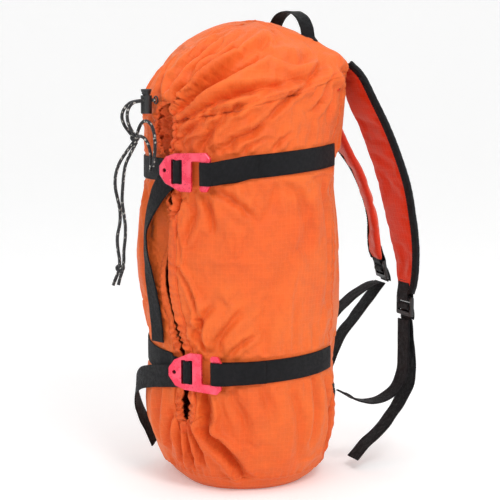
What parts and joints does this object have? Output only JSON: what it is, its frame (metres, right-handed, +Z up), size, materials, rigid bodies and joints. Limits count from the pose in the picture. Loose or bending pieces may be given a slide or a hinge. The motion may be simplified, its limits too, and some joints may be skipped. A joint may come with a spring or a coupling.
{
  "type": "rope storage bag",
  "caption": "Stuffed cylindrical rope bag with a slit front, drawcord mouth, hook-closed compression straps and padded shoulder straps.",
  "frame": {"origin": "centre of the flat base, on the surface the bag stands on", "axes": "+Z up along the bag, -Y towards the slit and its hooks, +Y towards the shoulder straps"},
  "size_m": [0.217, 0.3553, 0.5088],
  "materials": {
    "orange_ripstop": "matt coated ripstop nylon",
    "strap_fabric": "matt",
    "black_webbing": "matt ribbed",
    "blue_webbing": "matt ribbed",
    "flecked_cord": "braided",
    "anodised_aluminium": "anodised satin",
    "black_plastic": "matt",
    "elastic": "matt",
    "foam": "matt",
    "spring_steel": "polished"
  },
  "bodies": {
    "bag": {"back_panel": "orange_ripstop", "base_panel": "orange_ripstop", "cord_eyelet": "black_plastic", "drawcord_knot": "flecked_cord", "drawcord_left_strand": "flecked_cord", "drawcord_right_strand": "flecked_cord", "end_knot": "flecked_cord", "hanging_left_strand": "flecked_cord", "hanging_right_strand": "flecked_cord", "haul_loop_tabs": "black_webbing", "keeper_left_strand": "flecked_cord", "keeper_right_strand": "flecked_cord", "left_anchor_tab": "black_webbing", "left_hem_elastic": "elastic", "left_side_panel": "orange_ripstop", "left_slit_hem": "orange_ripstop", "lower_adjusting_strap": "black_webbing", "lower_loop_strap": "black_webbing", "lower_rope_tie_loop": "blue_webbing", "lower_tail_webbing": "black_webbing", "mouth_channel": "orange_ripstop", "right_anchor_tab": "black_webbing", "right_hem_elastic": "elastic", "right_side_panel": "orange_ripstop", "right_slit_hem": "orange_ripstop", "slit_foot_patch": "orange_ripstop", "strap_yoke": "black_webbing", "top_panel": "orange_ripstop", "upper_adjusting_strap": "black_webbing", "upper_loop_strap": "black_webbing", "upper_rope_tie_loop": "blue_webbing", "upper_tail_webbing": "black_webbing"},
    "upper_hook": {"upper_hook": "anodised_aluminium", "upper_loop": "black_webbing", "upper_bar_turn": "black_webbing"},
    "lower_hook": {"lower_hook": "anodised_aluminium", "lower_loop": "black_webbing", "lower_bar_turn": "black_webbing"},
    "cord_lock": {"cord_lock_barrel": "black_plastic", "cord_lock_spring": "spring_steel"},
    "cord_lock_button": {"cord_lock_button": "black_plastic"},
    "right_shoulder_strap": {"right_strap_cover": "strap_fabric", "right_strap_pad": "foam", "right_strap_binding": "black_webbing", "right_tail_webbing": "black_webbing", "right_anchor_webbing": "black_webbing"},
    "left_shoulder_strap": {"left_strap_cover": "strap_fabric", "left_strap_pad": "foam", "left_strap_binding": "black_webbing", "left_tail_webbing": "black_webbing", "left_anchor_webbing": "black_webbing"},
    "right_ladder_lock": {"right_ladder_lock": "black_plastic"},
    "left_ladder_lock": {"left_ladder_lock": "black_plastic"},
    "haul_loop": {"haul_loop": "black_webbing"}
  },
  "joints": [
    {"name": "upper_hook_swing", "type": "hinge", "parent": "bag", "child": "upper_hook", "pos_m": [0.03281, -0.10766, 0.344], "axis": [0, 0, -1], "range_deg": [0, 22]},
    {"name": "lower_hook_swing", "type": "hinge", "parent": "bag", "child": "lower_hook", "pos_m": [0.04018, -0.10206, 0.132], "axis": [0, 0, -1], "range_deg": [0, 22]},
    {"name": "cord_lock_slide", "type": "slide", "parent": "bag", "child": "cord_lock", "axis": [0, -1, 0], "range_m": [0, 0.003]},
    {"name": "cord_lock_press", "type": "slide", "parent": "cord_lock", "child": "cord_lock_button", "axis": [0, 0, -1], "range_m": [0, 0.0038], "stiffness_N_per_m": 600, "springref_m": -0.003, "deforming": ["cord_lock_spring"]},
    {"name": "right_shoulder_strap_swing", "type": "hinge", "parent": "bag", "child": "right_shoulder_strap", "pos_m": [0.045, 0.111, 0.442], "axis": [1, 0, 0], "range_deg": [0, 9], "deforming": ["right_anchor_webbing"]},
    {"name": "left_shoulder_strap_swing", "type": "hinge", "parent": "bag", "child": "left_shoulder_strap", "pos_m": [-0.045, 0.111, 0.442], "axis": [1, 0, 0], "range_deg": [0, 9], "deforming": ["left_anchor_webbing"]},
    {"name": "right_ladder_lock_tilt", "type": "hinge", "parent": "right_shoulder_strap", "child": "right_ladder_lock", "pos_m": [0.045, 0.1825, 0.1905], "axis": [1, 0, 0], "range_deg": [0, 10]},
    {"name": "left_ladder_lock_tilt", "type": "hinge", "parent": "left_shoulder_strap", "child": "left_ladder_lock", "pos_m": [-0.045, 0.2, 0.2187], "axis": [1, 0, 0], "range_deg": [0, 10]},
    {"name": "haul_loop_fold", "type": "hinge", "parent": "bag", "child": "haul_loop", "pos_m": [0, 0.06, 0.4845], "axis": [1, 0, 0], "range_deg": [-15, 15], "stiffness_Nm_per_rad": 0.02}
  ]
}
